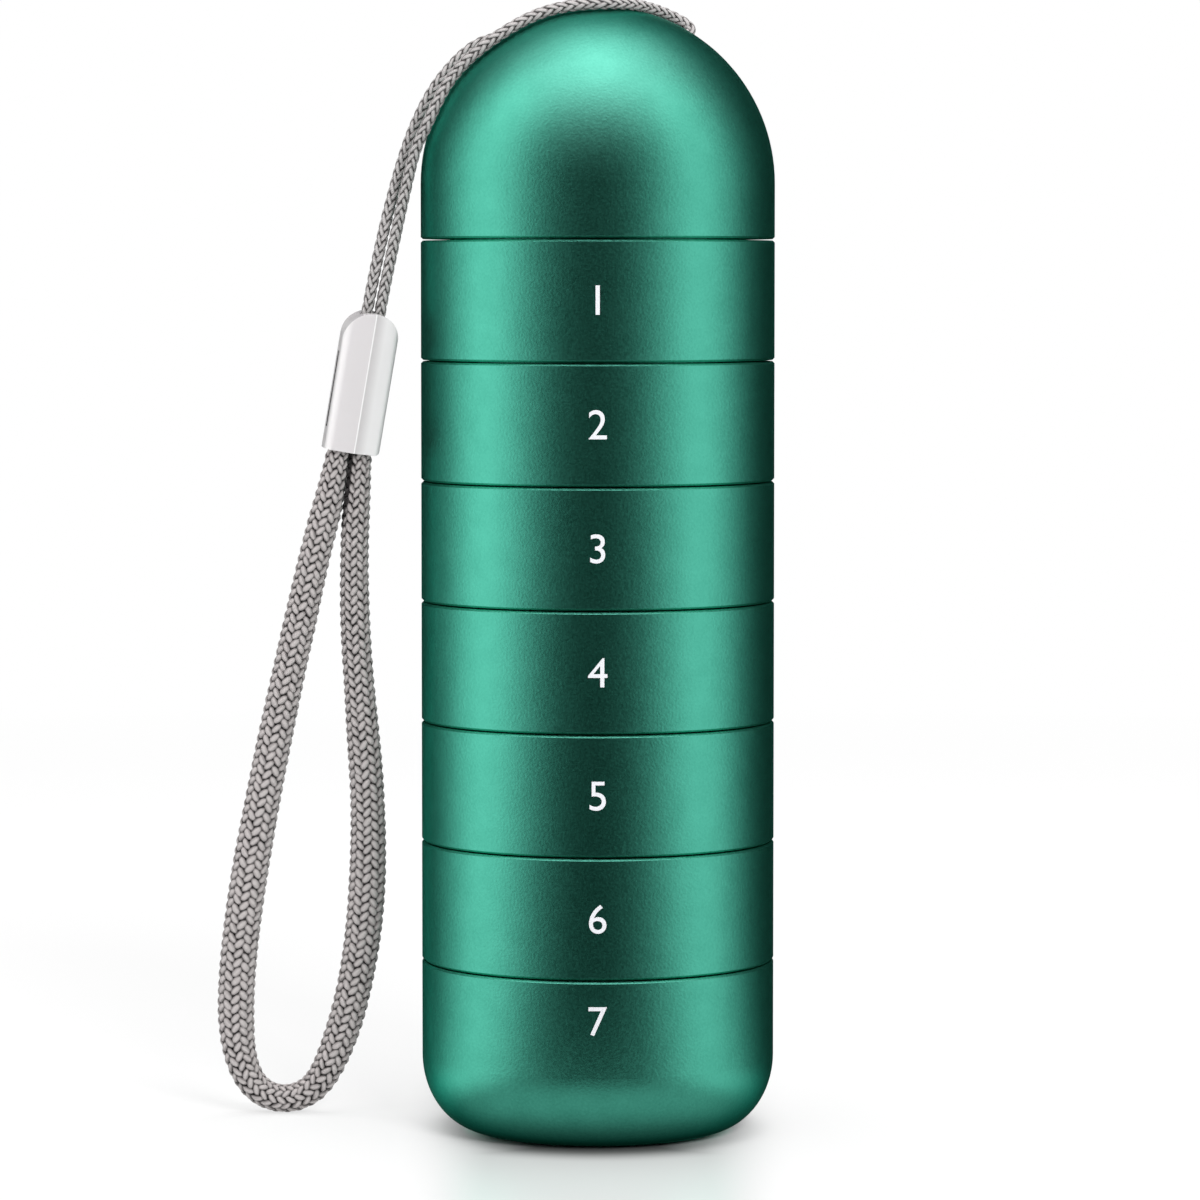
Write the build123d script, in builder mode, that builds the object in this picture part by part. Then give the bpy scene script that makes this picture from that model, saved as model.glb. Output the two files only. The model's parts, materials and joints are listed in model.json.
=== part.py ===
from build123d import *
from math import isclose, pi, radians, tan
import os

# Weekly pill organizer: seven screw cups in a stack under a domed cap, with a wrist lanyard.
# Millimetres. The origin is the centre of the flat foot, +Z is up the stack.

# Stack
body_radius = 17.5
base_height = 17.0
cup_height = 11.9
cap_height = 23.0
stacked_cups = 6
seam_gap = 0.15
edge_chamfer = 0.2

# Compartments
floor_thickness = 1.2
floor_fillet = 1.5
rim_chamfer = 0.25
foot_corner_width = 6.0
foot_corner_height = 7.5
foot_corner_start = 270.0
foot_corner_turn = 90.0
base_floor_thickness = 2.0
base_floor_fillet = 6.0

# Screw joint between two pieces: a ridge of one turn on the spigot and one in the socket
skirt_wall = 2.3
spigot_wall = 1.5
spigot_height = 4.6
thread_depth = 0.8
thread_clearance = 0.2
thread_pitch = 2.5
thread_start = 1.1
thread_root_width = 1.5
thread_crest_width = 0.8
thread_sink = 0.15
socket_lead_in = 0.4
half_turn = 180.0

# Seal ring in each socket
seal_thickness = 0.8
seal_clearance = 0.2

# Cap crown and lanyard hole
crown_thickness = 6.6
cap_hollow_fillet = 9.0
lanyard_hole_radius = 1.2
lanyard_hole_depth = 3.46
lanyard_hole_fillet = 0.3

# Lanyard string, crimp and wrist cord
string_diameter = 1.1
wrist_cord_diameter = 3.2
cord_neck_diameter = 1.9
cord_neck_length = 10.2
cord_end_diameter = 1.8
cord_end_spacing = 1.9
cord_end_length = 6.0
cord_end_overrun = 0.8
crimp_start = 3.0
crimp_length = 7.2
crimp_wall = 0.22
crimp_clearance = 0.05

# Cord clip
clip_length = 14.0
clip_width = 5.6
clip_side_depth = 2.4
clip_ridge_depth = 3.8
clip_edge_radius = 0.8
clip_foot_radius = 0.6
clip_wall = 0.6
clip_hollow_depth = 2.6
clip_hollow_length = 10.8
clip_channel_width = 2.7
clip_channel_depth = 1.4
clip_slot_width = 0.35
clip_slot_depth = 0.3
clip_slot_start = 2.2
clip_slot_length = 7.4
clip_peg_radius = 0.4
clip_peg_length = 0.9
clip_peg_clearance = 0.05
clip_peg_spacing = 4.0
clip_peg_height = 11.9
clip_foot = (-24.6, 0.8, 67.5)
clip_axis = (2.4, -1.1, 13.9)
clip_width_axis = (0.966, 0.259, 0.0)

# Share of the shorter run beside a corner that an arc takes up
arc_share = 0.45

# Route of the string: out of the clip, over the crest, back through the hole and down to the clip
string_route = [
    (-22.74, 0.40, 74.68),
    (-21.57, -0.13, 81.36),
    (-20.05, -1.35, 88.40),
    (-18.95, -2.40, 93.20),
    (-17.95, -3.25, 97.25),
    (-16.90, -4.25, 99.25),
    (-16.00, -4.75, 101.20),
    (-15.00, -4.70, 103.20),
    (-13.55, -4.85, 105.15),
    (-11.55, -5.45, 106.95),
    (-9.60, -5.75, 108.30),
    (-7.65, -5.60, 109.50),
    (-5.70, -5.25, 110.42),
    (-3.75, -5.10, 110.98),
    (-1.70, -5.05, 111.30),
    (0.90, -4.85, 111.42),
    (3.60, -3.70, 111.45),
    (6.25, -1.20, 111.20),
    (8.95, 0.35, 110.15),
    (8.45, 0.05, 108.28),
    (5.40, 0.05, 108.20),
    (1.90, 0.10, 108.06),
    (-1.90, 0.10, 108.05),
    (-5.60, 0.05, 108.20),
    (-8.30, 0.00, 108.28),
    (-10.50, 0.20, 108.25),
    (-12.40, 0.50, 107.45),
    (-14.35, 0.05, 105.65),
    (-16.20, -0.30, 103.30),
    (-17.75, -0.50, 100.35),
    (-18.90, -0.60, 97.40),
    (-20.10, -0.60, 93.40),
    (-21.35, -0.45, 88.50),
    (-22.81, -0.48, 81.54),
    (-23.97, 0.05, 74.86),
]

# Route of the wrist cord: down the left strand, round on the floor and up the right strand
wrist_route = [
    (-28.10, 1.90, 57.60),
    (-29.90, 3.00, 49.80),
    (-31.75, 3.90, 41.70),
    (-33.45, 4.80, 33.60),
    (-35.00, 5.70, 25.60),
    (-36.20, 6.60, 17.80),
    (-36.75, 7.35, 11.00),
    (-36.45, 7.90, 6.30),
    (-35.05, 8.20, 3.00),
    (-32.95, 8.40, 1.68),
    (-30.35, 8.40, 1.75),
    (-28.15, 8.25, 3.50),
    (-26.35, 7.90, 7.00),
    (-24.85, 7.45, 11.90),
    (-23.70, 6.80, 18.20),
    (-23.12, 6.00, 25.60),
    (-23.15, 5.00, 33.40),
    (-23.75, 3.90, 41.60),
    (-24.90, 2.75, 50.00),
    (-24.30, 1.95, 57.90),
]

# Radii of the screw joint, from the outside in
socket_radius = body_radius - skirt_wall
spigot_radius = socket_radius - thread_clearance - thread_depth
bore_radius = spigot_radius - spigot_wall
seal_radius = socket_radius - seal_clearance

# Heights in a cup's own frame, whose zero is the seam under it
seat_height = spigot_height + seal_thickness - seam_gap / 2
foot_level = seam_gap / 2
shoulder_level = cup_height - seam_gap / 2
top_seam = base_height + stacked_cups * cup_height
crest = top_seam + cap_height

os.makedirs("parts", exist_ok=True)


def rings(builder, radius):
    """Circular edges of one radius about the stack's axis, from the lowest to the highest."""
    circles = builder.edges().filter_by(GeomType.CIRCLE)
    return circles.filter_by(lambda edge: isclose(edge.radius, radius)).sort_by(Axis.Z)


def corner_radii(route):
    """Radius of the arc at each inner point of a cord's route, as large as its two runs allow."""
    points = [Vector(*point) for point in route]
    runs = [after - before for before, after in zip(points, points[1:])]
    radii = []
    for before, after in zip(runs, runs[1:]):
        reach = arc_share * min(before.length, after.length)
        half_angle = radians(before.get_angle(after) / 2)
        radii.append(reach / tan(half_angle))
    return radii


def report_cord(name, route, length, volume, diameter):
    """Prints a cord's radii, its length and its volume over its section times its length."""
    print(name, "radii", [round(radius, 2) for radius in corner_radii(route)])
    plain_volume = length * pi * diameter**2 / 4
    print(name, "length", round(length, 2), "volume share", round(volume / plain_volume, 4))


def finish(part, name):
    """Labels a finished piece and writes it to its own file."""
    part.label = name
    export_step(part, f"parts/{name}.step")


# Ridge on a spigot, in the frame of the seam under the piece above
with BuildPart() as spigot_ridge:
    with BuildLine():
        Helix(thread_pitch, thread_pitch, spigot_radius, center=(0, 0, thread_start))
    with BuildSketch(Plane.XZ):
        with BuildLine():
            Polyline(
                (spigot_radius - thread_sink, thread_start - thread_root_width / 2),
                (spigot_radius, thread_start - thread_root_width / 2),
                (spigot_radius + thread_depth, thread_start - thread_crest_width / 2),
                (spigot_radius + thread_depth, thread_start + thread_crest_width / 2),
                (spigot_radius, thread_start + thread_root_width / 2),
                (spigot_radius - thread_sink, thread_start + thread_root_width / 2),
                close=True,
            )
        make_face()
    sweep(is_frenet=True)

# Ridge in a socket, half a turn round from the spigot's ridge when both are screwed home
with BuildPart() as socket_ridge:
    with BuildLine():
        Helix(thread_pitch, thread_pitch, socket_radius, center=(0, 0, thread_start))
    with BuildSketch(Plane.XZ):
        with BuildLine():
            Polyline(
                (socket_radius + thread_sink, thread_start - thread_root_width / 2),
                (socket_radius, thread_start - thread_root_width / 2),
                (socket_radius - thread_depth, thread_start - thread_crest_width / 2),
                (socket_radius - thread_depth, thread_start + thread_crest_width / 2),
                (socket_radius, thread_start + thread_root_width / 2),
                (socket_radius + thread_sink, thread_start + thread_root_width / 2),
                close=True,
            )
        make_face()
    sweep(is_frenet=True)

# Cup of one day, with a socket under its floor and a spigot round its mouth
with BuildPart() as day_cup:
    with BuildSketch(Plane.XZ):
        with BuildLine():
            Polyline(
                (0, seat_height),
                (socket_radius, seat_height),
                (socket_radius, foot_level),
                (body_radius, foot_level),
                (body_radius, shoulder_level),
                (spigot_radius, shoulder_level),
                (spigot_radius, shoulder_level + spigot_height),
                (bore_radius, shoulder_level + spigot_height),
                (bore_radius, seat_height + floor_thickness),
                (0, seat_height + floor_thickness),
                close=True,
            )
        make_face()
    revolve(axis=Axis.Z)
    chamfer(rings(day_cup, body_radius), edge_chamfer)
    chamfer(rings(day_cup, socket_radius)[0], socket_lead_in)
    chamfer(rings(day_cup, spigot_radius)[-1], rim_chamfer)
    fillet(rings(day_cup, bore_radius)[0], floor_fillet)
    with Locations((0, 0, shoulder_level)):
        add(spigot_ridge.part)
    with Locations((0, 0, -seam_gap / 2)):
        add(socket_ridge.part, rotation=(0, 0, half_turn))

for day in range(1, stacked_cups + 1):
    seam = top_seam - day * cup_height
    finish(day_cup.part.moved(Location((0, 0, seam))), f"day_{day}_cup")

# Base cup, the last day's compartment, with an oval corner round its foot
with BuildPart() as base_cup:
    with BuildSketch(Plane.XZ):
        with BuildLine():
            Line((0, 0), (body_radius - foot_corner_width, 0))
            EllipticalCenterArc(
                (body_radius - foot_corner_width, foot_corner_height),
                foot_corner_width,
                foot_corner_height,
                start_angle=foot_corner_start,
                arc_size=foot_corner_turn,
            )
            Polyline(
                (body_radius, foot_corner_height),
                (body_radius, base_height - seam_gap / 2),
                (spigot_radius, base_height - seam_gap / 2),
                (spigot_radius, base_height - seam_gap / 2 + spigot_height),
                (bore_radius, base_height - seam_gap / 2 + spigot_height),
                (bore_radius, base_floor_thickness),
                (0, base_floor_thickness),
                (0, 0),
            )
        make_face()
    revolve(axis=Axis.Z)
    chamfer(rings(base_cup, body_radius)[-1], edge_chamfer)
    chamfer(rings(base_cup, spigot_radius)[-1], rim_chamfer)
    fillet(rings(base_cup, bore_radius)[0], base_floor_fillet)
    with Locations((0, 0, base_height - seam_gap / 2)):
        add(spigot_ridge.part)
finish(base_cup.part, "base_cup")

# Domed cap: a skirt with a socket, a hollow and a thick crown that the lanyard hole crosses
hollow_top = crest - crown_thickness
with BuildPart() as dome_cap:
    with BuildSketch(Plane.XZ):
        with BuildLine():
            Line((0, crest), (0, hollow_top))
            Line((0, hollow_top), (bore_radius - cap_hollow_fillet, hollow_top))
            RadiusArc(
                (bore_radius - cap_hollow_fillet, hollow_top),
                (bore_radius, hollow_top - cap_hollow_fillet),
                cap_hollow_fillet,
            )
            Polyline(
                (bore_radius, hollow_top - cap_hollow_fillet),
                (bore_radius, top_seam + seat_height),
                (socket_radius, top_seam + seat_height),
                (socket_radius, top_seam + foot_level),
                (body_radius, top_seam + foot_level),
                (body_radius, crest - body_radius),
            )
            RadiusArc((body_radius, crest - body_radius), (0, crest), -body_radius)
        make_face()
    revolve(axis=Axis.Z)
    chamfer(rings(dome_cap, body_radius)[0], edge_chamfer)
    chamfer(rings(dome_cap, socket_radius)[0], socket_lead_in)
    with Locations((0, 0, crest - lanyard_hole_depth)):
        Cylinder(lanyard_hole_radius, 2 * body_radius, rotation=(0, 90, 0), mode=Mode.SUBTRACT)
    fillet(dome_cap.edges(Select.LAST).filter_by(GeomType.BSPLINE), lanyard_hole_fillet)
    with Locations((0, 0, top_seam - seam_gap / 2)):
        add(socket_ridge.part, rotation=(0, 0, half_turn))
finish(dome_cap.part, "dome_cap")

# Flat seal ring between a spigot's rim and the seat over it
with BuildPart() as seal:
    with BuildSketch(Plane.XY.offset(spigot_height - seam_gap / 2)):
        Circle(seal_radius)
        Circle(bore_radius, mode=Mode.SUBTRACT)
    extrude(amount=seal_thickness)

finish(seal.part.moved(Location((0, 0, top_seam))), "cap_seal")
for day in range(1, stacked_cups + 1):
    seam = top_seam - day * cup_height
    finish(seal.part.moved(Location((0, 0, seam))), f"day_{day}_seal")

# String loop
with BuildPart() as string_loop:
    with BuildLine() as string_path:
        FilletPolyline(*string_route, radius=corner_radii(string_route))
    string_start = Vector(*string_route[0])
    with BuildSketch(Plane(string_start, z_dir=Vector(*string_route[1]) - string_start)):
        Circle(string_diameter / 2)
    sweep()
string_length = string_path.wire().length
report_cord("string_loop", string_route, string_length, string_loop.part.volume, string_diameter)
finish(string_loop.part, "string_loop")

# Frame of the clip: its foot's centre, with X across its front and Z up its length
clip_plane = Plane(clip_foot, x_dir=clip_width_axis, z_dir=clip_axis)
cord_ends = [
    clip_plane.from_local_coords((side * cord_end_spacing / 2, 0, -cord_end_overrun))
    for side in (-1, 1)
]

# Wrist cord, necked in at the clip, with both ends squeezed flat side by side inside it
with BuildPart() as wrist_cord:
    with BuildLine() as wrist_path:
        FilletPolyline(*wrist_route, radius=corner_radii(wrist_route))
    wrist_start = Vector(*wrist_route[0])
    with BuildSketch(Plane(wrist_start, z_dir=Vector(*wrist_route[1]) - wrist_start)):
        Circle(wrist_cord_diameter / 2)
    sweep()
    wrist_length = wrist_path.wire().length
    report_cord("wrist_cord", wrist_route, wrist_length, wrist_cord.part.volume, wrist_cord_diameter)
    for outer, inner in ((wrist_route[0], wrist_route[1]), (wrist_route[-1], wrist_route[-2])):
        neck = Plane(outer, z_dir=Vector(*outer) - Vector(*inner))
        with BuildSketch(neck):
            Circle(wrist_cord_diameter / 2)
        with BuildSketch(neck.offset(cord_neck_length)):
            Circle(cord_neck_diameter / 2)
        loft()
    for cord_end in cord_ends:
        with BuildSketch(Plane(cord_end, z_dir=clip_plane.z_dir)):
            Circle(cord_end_diameter / 2)
        extrude(amount=cord_end_length + cord_end_overrun)
finish(wrist_cord.part, "wrist_cord")

# Crimp sleeve that grips the ends of both cords inside the clip
grip_width = cord_end_spacing + cord_end_diameter + 2 * crimp_clearance
grip_depth = cord_end_diameter + 2 * crimp_clearance
with BuildPart() as cord_crimp:
    with BuildSketch(clip_plane.offset(crimp_start)):
        SlotOverall(grip_width + 2 * crimp_wall, grip_depth + 2 * crimp_wall)
        SlotOverall(grip_width, grip_depth, mode=Mode.SUBTRACT)
    extrude(amount=crimp_length)
finish(cord_crimp.part, "cord_crimp")

# Clip body before it is split: a ridged bar with an arched top, hollow for the crimp
clip_face = Plane(clip_plane.origin, x_dir=clip_plane.x_dir, z_dir=-clip_plane.y_dir)
with BuildPart() as clip_body:
    with BuildSketch(clip_plane):
        with BuildLine():
            Polyline(
                (-clip_width / 2, -clip_side_depth / 2),
                (0, -clip_ridge_depth / 2),
                (clip_width / 2, -clip_side_depth / 2),
                (clip_width / 2, clip_side_depth / 2),
                (0, clip_ridge_depth / 2),
                (-clip_width / 2, clip_side_depth / 2),
                close=True,
            )
        section = make_face()
        corners = section.vertices().group_by(SortBy.DISTANCE)[-1]
        fillet(corners, clip_edge_radius)
    extrude(amount=clip_length)
    with BuildSketch(clip_face):
        with BuildLine():
            Polyline(
                (-clip_width / 2, clip_length - clip_width / 2),
                (-clip_width / 2, 0),
                (clip_width / 2, 0),
                (clip_width / 2, clip_length - clip_width / 2),
            )
            RadiusArc(
                (clip_width / 2, clip_length - clip_width / 2),
                (-clip_width / 2, clip_length - clip_width / 2),
                -clip_width / 2,
            )
        outline = make_face()
        fillet(outline.vertices().sort_by(Axis.Z)[:2], clip_foot_radius)
    extrude(amount=clip_ridge_depth, both=True, mode=Mode.INTERSECT)
    with BuildSketch(clip_plane):
        SlotOverall(clip_width - 2 * clip_wall, clip_hollow_depth)
    extrude(amount=clip_hollow_length, mode=Mode.SUBTRACT)
    with BuildSketch(clip_plane):
        SlotOverall(clip_channel_width, clip_channel_depth)
    extrude(amount=clip_length, mode=Mode.SUBTRACT)
    with BuildSketch(clip_plane.offset(clip_slot_start)):
        for side in (-1, 1):
            with Locations((side * clip_width / 2, 0)):
                Rectangle(2 * clip_slot_depth, clip_slot_width)
    extrude(amount=clip_slot_length, mode=Mode.SUBTRACT)

# Front shell of the clip, with blind holes for the back shell's pegs
with BuildPart() as clip_front_shell:
    add(clip_body.part)
    split(bisect_by=clip_face, keep=Keep.TOP)
    with BuildSketch(clip_face):
        with Locations((-clip_peg_spacing / 2, clip_peg_height), (clip_peg_spacing / 2, clip_peg_height)):
            Circle(clip_peg_radius + clip_peg_clearance)
    extrude(amount=clip_peg_length + clip_peg_clearance, mode=Mode.SUBTRACT)
finish(clip_front_shell.part, "clip_front_shell")

# Back shell of the clip, with two pegs
with BuildPart() as clip_back_shell:
    add(clip_body.part)
    split(bisect_by=clip_face, keep=Keep.BOTTOM)
    with BuildSketch(clip_face):
        with Locations((-clip_peg_spacing / 2, clip_peg_height), (clip_peg_spacing / 2, clip_peg_height)):
            Circle(clip_peg_radius)
    extrude(amount=clip_peg_length)
finish(clip_back_shell.part, "clip_back_shell")
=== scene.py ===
"""Looks of the weekly pill organizer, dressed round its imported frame.

Metres, in the frame of the solids: the origin is the centre of the flat foot, +Z is up the stack
and -Y faces the viewer. The metal cups, the seals, the clip and the crimp keep their solids and get
a finish each. Both cords are braided here from yarns, and a number is printed on each day's cup.
"""
from __future__ import annotations

import json
import logging
from dataclasses import dataclass
from enum import Enum
from math import pi, radians
from typing import Any, Mapping, Sequence, Union

import bmesh
import bpy
import numpy as np
from bpy.types import Curve, ID, Material, Mesh, NodeSocket, NodeTree, Object
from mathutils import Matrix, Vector

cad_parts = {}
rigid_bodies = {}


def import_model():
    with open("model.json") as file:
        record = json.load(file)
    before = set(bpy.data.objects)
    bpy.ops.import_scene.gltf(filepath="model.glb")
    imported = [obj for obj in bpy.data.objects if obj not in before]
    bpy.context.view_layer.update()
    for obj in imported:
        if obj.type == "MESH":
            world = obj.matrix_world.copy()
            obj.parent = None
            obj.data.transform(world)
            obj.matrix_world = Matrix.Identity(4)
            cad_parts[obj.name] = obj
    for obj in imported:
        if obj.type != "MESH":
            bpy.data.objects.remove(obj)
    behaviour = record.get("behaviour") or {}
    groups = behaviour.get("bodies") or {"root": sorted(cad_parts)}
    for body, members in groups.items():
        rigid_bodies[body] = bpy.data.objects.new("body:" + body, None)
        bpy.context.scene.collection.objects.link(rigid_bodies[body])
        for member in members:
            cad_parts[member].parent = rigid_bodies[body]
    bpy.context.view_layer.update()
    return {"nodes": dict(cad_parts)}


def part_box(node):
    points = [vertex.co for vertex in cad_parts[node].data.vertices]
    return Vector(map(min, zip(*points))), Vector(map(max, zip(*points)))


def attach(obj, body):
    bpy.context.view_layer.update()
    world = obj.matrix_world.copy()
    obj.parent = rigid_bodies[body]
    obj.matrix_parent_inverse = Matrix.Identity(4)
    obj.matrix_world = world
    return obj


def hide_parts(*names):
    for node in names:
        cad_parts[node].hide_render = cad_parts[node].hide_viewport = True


LOG = logging.getLogger("pill_organizer")
FULL_TURN = 2 * pi
NOISE_MIDDLE = 0.5
WHITE = (1.0, 1.0, 1.0)
BLACK = (0.0, 0.0, 0.0)
ROUTE_RESOLUTION = 48
# Attributes that the meshes carry
YARN = "yarn"
RIDE = "ride"
GLOW = "glow"

Colour = tuple[float, float, float]
Point = tuple[float, float, float]
Span = tuple[float, float]
Array = np.ndarray
Operand = Union["Signal", float]


class Signal:
    """A shader socket that sums can be written with: each operator adds one Math node."""

    def __init__(self, tree: NodeTree, socket: NodeSocket) -> None:
        """Keeps the socket and the tree that it belongs to."""
        self.tree = tree
        self.socket = socket

    def feed(self, slot: NodeSocket) -> None:
        """Links this socket to an input."""
        self.tree.links.new(self.socket, slot)

    def _maths(self, operation: str, first: Operand, second: Operand) -> Signal:
        """Adds one Math node.

        Args:
            operation: Name of the Math node's operation.
            first: Left operand.
            second: Right operand.

        Returns:
            The node's result.
        """
        node = self.tree.nodes.new("ShaderNodeMath")
        node.operation = operation
        for slot, operand in zip(node.inputs, (first, second)):
            if isinstance(operand, Signal):
                operand.feed(slot)
            else:
                slot.default_value = operand
        return Signal(self.tree, node.outputs[0])

    def __add__(self, other: Operand) -> Signal:
        """Sum, with the other operand on either side."""
        return self._maths("ADD", self, other)

    def __sub__(self, other: Operand) -> Signal:
        """Difference."""
        return self._maths("SUBTRACT", self, other)

    def __rsub__(self, other: Operand) -> Signal:
        """Difference from a number on the left."""
        return self._maths("SUBTRACT", other, self)

    def __mul__(self, other: Operand) -> Signal:
        """Product, with the other operand on either side."""
        return self._maths("MULTIPLY", self, other)

    __radd__, __rmul__ = __add__, __mul__

    def maximum(self, other: Operand) -> Signal:
        """The larger of two values."""
        return self._maths("MAXIMUM", self, other)

    def magnitude(self) -> Signal:
        """The value without its sign."""
        return self._maths("ABSOLUTE", self, 0.0)


class NodeSheet:
    """Node tree of a material or a world, filled node by node."""

    def __init__(self, tree: NodeTree) -> None:
        """Empties the tree."""
        self.tree = tree
        self.tree.nodes.clear()

    def node(
        self,
        kind: str,
        settings: Mapping[str, Any] | None = None,
        inputs: Mapping[str | int, Any] | None = None,
        output: str | int = 0,
    ) -> Signal:
        """Adds a node of any type.

        Args:
            kind: The node's type.
            settings: Its own properties, set first.
            inputs: Values or links of its sockets, by name or number, colours without alpha.
            output: The output that is wanted.

        Returns:
            That output.
        """
        made = self.tree.nodes.new(kind)
        for name, value in (settings or {}).items():
            setattr(made, name, value)
        for name, value in (inputs or {}).items():
            slot = made.inputs[name]
            if isinstance(value, Signal):
                value.feed(slot)
            else:
                slot.default_value = (*value, 1.0) if slot.type == "RGBA" else value
        return Signal(self.tree, made.outputs[output])

    def blend(self, factor: Operand, first: Any, second: Any) -> Signal:
        """Mixes two colours: the first where the factor is 0, and the second where it is 1."""
        return self.node("ShaderNodeMix", {"data_type": "RGBA"}, {0: factor, 6: first, 7: second}, 2)

    def ramp(self, value: Signal, start: float, end: float, low: float = 0.0, high: float = 1.0) -> Signal:
        """Runs smoothly from `low` where the value is `start` to `high` where it is `end`."""
        inputs = {"Value": value, "From Min": start, "From Max": end, "To Min": low, "To Max": high}
        return self.node("ShaderNodeMapRange", {"interpolation_type": "SMOOTHSTEP"}, inputs)

    def reach(self, coords: Signal, origin: Array, axis: Array) -> Signal:
        """Distance of a point from an origin, measured along an axis."""
        inputs = {0: coords, 1: tuple(axis)}
        along = self.node("ShaderNodeVectorMath", {"operation": "DOT_PRODUCT"}, inputs, "Value")
        return along - float(origin @ axis)

    def noise(self, coords: Signal, scale: float, detail: float = 2.0) -> Signal:
        """Noise from 0 to 1, with `scale` blotches to the unit of the coordinates."""
        return self.node("ShaderNodeTexNoise", None, {"Vector": coords, "Scale": scale, "Detail": detail})

    def place(self) -> Signal:
        """Object coordinates of the surface."""
        return self.node("ShaderNodeTexCoord", output="Object")

    def attribute(self, name: str, output: str) -> Signal:
        """An attribute that the mesh carries."""
        return self.node("ShaderNodeAttribute", {"attribute_name": name}, output=output)

    def stretched(self, coords: Signal, scale: Point) -> Signal:
        """Coordinates times a scale for each axis."""
        return self.node("ShaderNodeMapping", None, {"Vector": coords, "Scale": scale})

    def component(self, vector: Signal, axis: str) -> Signal:
        """The X, Y or Z of a vector."""
        return self.node("ShaderNodeSeparateXYZ", None, {"Vector": vector}, axis)

    def bump(self, height: Signal, depth: float) -> Signal:
        """Normal of a surface whose height runs from 0 to `depth` metres."""
        return self.node("ShaderNodeBump", None, {"Height": height, "Distance": depth, "Strength": 1.0})

    def surface(self, shader: Signal, kind: str = "ShaderNodeOutputMaterial") -> None:
        """Ends the tree in the output node of this kind, with the shader as its surface."""
        shader.feed(self.tree.nodes.new(kind).inputs["Surface"])

    def skin(self, **inputs: Any) -> None:
        """Ends the tree in a Principled shader, with underscores for the blanks in its sockets' names."""
        named = {name.replace("_", " "): value for name, value in inputs.items()}
        self.surface(self.node("ShaderNodeBsdfPrincipled", None, named))


def new_material(name: str) -> tuple[Material, NodeSheet]:
    """A material with an empty node tree, and the sheet that fills it."""
    material = bpy.data.materials.new(name)
    material.use_nodes = True
    return material, NodeSheet(material.node_tree)


def millimetres(*lengths: float) -> tuple[float, ...]:
    """Lengths written in millimetres, as metres."""
    return tuple(length / 1000.0 for length in lengths)


def unit(vectors: Array) -> Array:
    """Vectors of length one, along the last axis."""
    return vectors / np.linalg.norm(vectors, axis=-1, keepdims=True)


@dataclass(frozen=True)
class AnodisedMetal:
    """Bead-blasted aluminium dyed green: a fine grain in its colour, gloss and relief."""

    name: str = "anodised_metal"
    colour: Colour = (0.098, 0.52, 0.385)
    deep_colour: Colour = (0.075, 0.43, 0.315)
    edge_tint: Colour = (0.25, 0.6, 0.5)
    roughness: float = 0.33
    roughness_spread: float = 0.16
    grain_scale: float = 3900.0
    grain_detail: float = 3.0
    grain_contrast: float = 2.2
    cloud_scale: float = 420.0
    grain_depth: float = 0.00002

    def material(self) -> Material:
        """Colour, roughness and bump follow one fine noise, with wider clouds in the colour."""
        material, sheet = new_material(self.name)
        coords = sheet.place()
        grain = sheet.noise(coords, self.grain_scale, self.grain_detail)
        cloud = sheet.noise(coords, self.cloud_scale)
        tone = (grain - NOISE_MIDDLE) * self.grain_contrast + cloud
        sheet.skin(
            Base_Color=sheet.blend(tone, self.deep_colour, self.colour),
            Metallic=1.0,
            Roughness=self.roughness + (grain - NOISE_MIDDLE) * self.roughness_spread,
            Specular_Tint=self.edge_tint,
            Normal=sheet.bump(grain, self.grain_depth),
        )
        return material


@dataclass(frozen=True)
class MottledSkin:
    """A plain skin whose colour, gloss and relief follow one noise, from its low to its high colour.

    The two values of `roughness` are the least one and what the noise adds to it, `stretch` squeezes
    the noise along the axes, and a skin whose depth is nought has no relief.
    """

    name: str
    low_colour: Colour
    high_colour: Colour
    roughness: Span
    scale: float
    detail: float = 2.0
    depth: float = 0.0
    metallic: float = 0.0
    stretch: Point = (1.0, 1.0, 1.0)

    def material(self) -> Material:
        """Mixes the two colours by the noise, over a bump where there is a relief."""
        material, sheet = new_material(self.name)
        mottle = sheet.noise(sheet.stretched(sheet.place(), self.stretch), self.scale, self.detail)
        least, added = self.roughness
        relief = {"Normal": sheet.bump(mottle, self.depth)} if self.depth else {}
        sheet.skin(
            Base_Color=sheet.blend(mottle, self.low_colour, self.high_colour),
            Metallic=self.metallic,
            Roughness=least + mottle * added,
            **relief,
        )
        return material


SEAL_RUBBER = MottledSkin(
    "seal_rubber", (0.62, 0.62, 0.6), (0.74, 0.74, 0.71), (0.5, 0.2),
    scale=900.0, detail=4.0, depth=0.00003)
MARKING_INK = MottledSkin(
    "marking_ink", (0.66, 0.68, 0.71), (0.78, 0.78, 0.82), (0.42, 0.2),
    scale=5200.0, detail=3.0, depth=0.00001)
# The core's dark colour is painted shade for the gaps between the yarns.
CORD_CORE = MottledSkin("cord_core", (0.05, 0.045, 0.045), (0.09, 0.08, 0.08), (0.8, 0.2), scale=2500.0)
CRIMP_STEEL = MottledSkin(
    "crimp_steel", (0.46, 0.46, 0.48), (0.62, 0.62, 0.63), (0.3, 0.15),
    scale=1.0, metallic=1.0, stretch=(5000.0, 5000.0, 300.0))


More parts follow.
